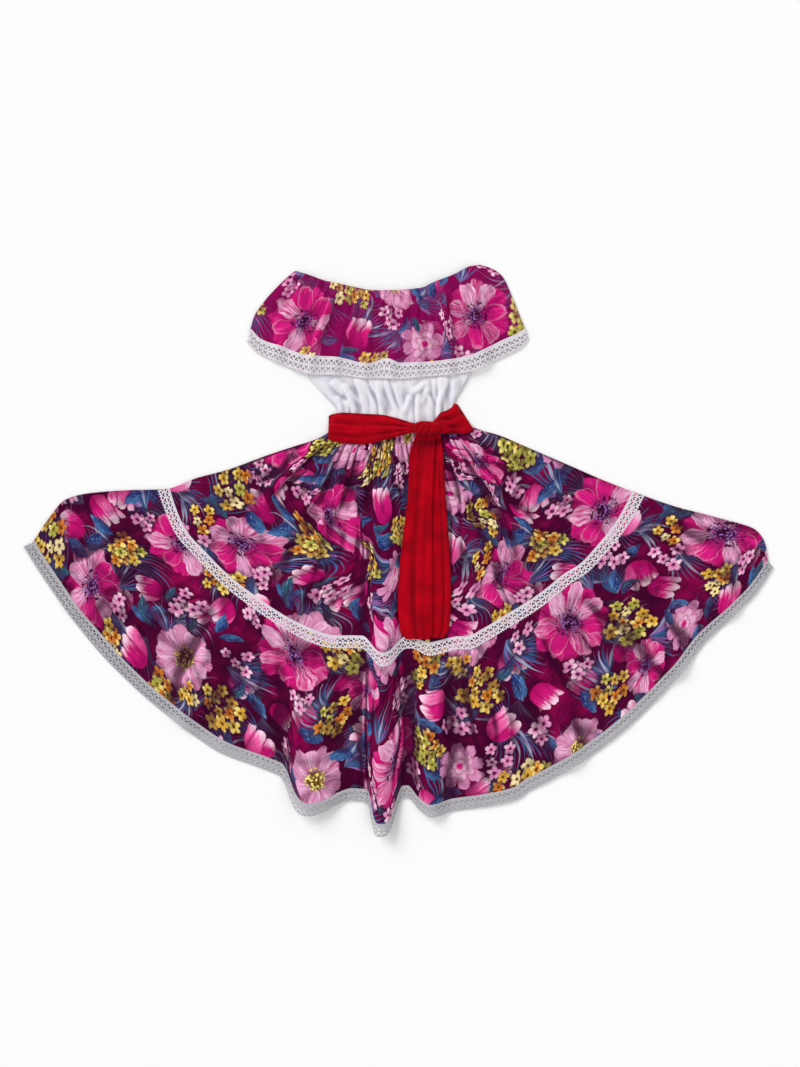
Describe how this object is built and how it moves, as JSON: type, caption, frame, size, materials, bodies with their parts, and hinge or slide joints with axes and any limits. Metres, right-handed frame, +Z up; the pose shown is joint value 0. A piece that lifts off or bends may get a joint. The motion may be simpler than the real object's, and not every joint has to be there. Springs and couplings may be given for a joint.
{
  "type": "puerto rican jibara dress",
  "caption": "Off-shoulder folk dress laid flat: gathered flounce, white bodice, knotted sash and a fanned skirt of two lace-trimmed tiers.",
  "frame": {"origin": "middle of the laid-out dress, on the surface that it lies on", "axes": "+Z up off the surface, +Y towards the neck, +X to the right of the picture"},
  "size_m": [1.4564, 1.1062, 0.0282],
  "materials": {
    "floral_cotton": "light plain-weave cotton printed with flowers on a burgundy ground",
    "white_cotton": "soft white cotton, faintly blue in its folds",
    "lace": "fine white narrow lace, semi-sheer",
    "sash_cloth": "deep red cloth with a soft sheen"
  },
  "bodies": {
    "root": {"flounce_front": "floral_cotton", "flounce_back": "floral_cotton", "flounce_lace_front": "lace", "flounce_lace_back": "lace", "bodice_front": "white_cotton", "bodice_back": "white_cotton", "skirt_upper_front": "floral_cotton", "skirt_upper_back": "floral_cotton", "skirt_lower_front": "floral_cotton", "skirt_lower_back": "floral_cotton", "tier_lace_front": "lace", "tier_lace_back": "lace", "hem_lace_front": "lace", "hem_lace_back": "lace", "sash_band_left": "sash_cloth", "sash_band_right": "sash_cloth", "sash_back": "sash_cloth", "sash_knot": "sash_cloth", "sash_tail_over": "sash_cloth", "sash_tail_under": "sash_cloth"}
  },
  "joints": []
}
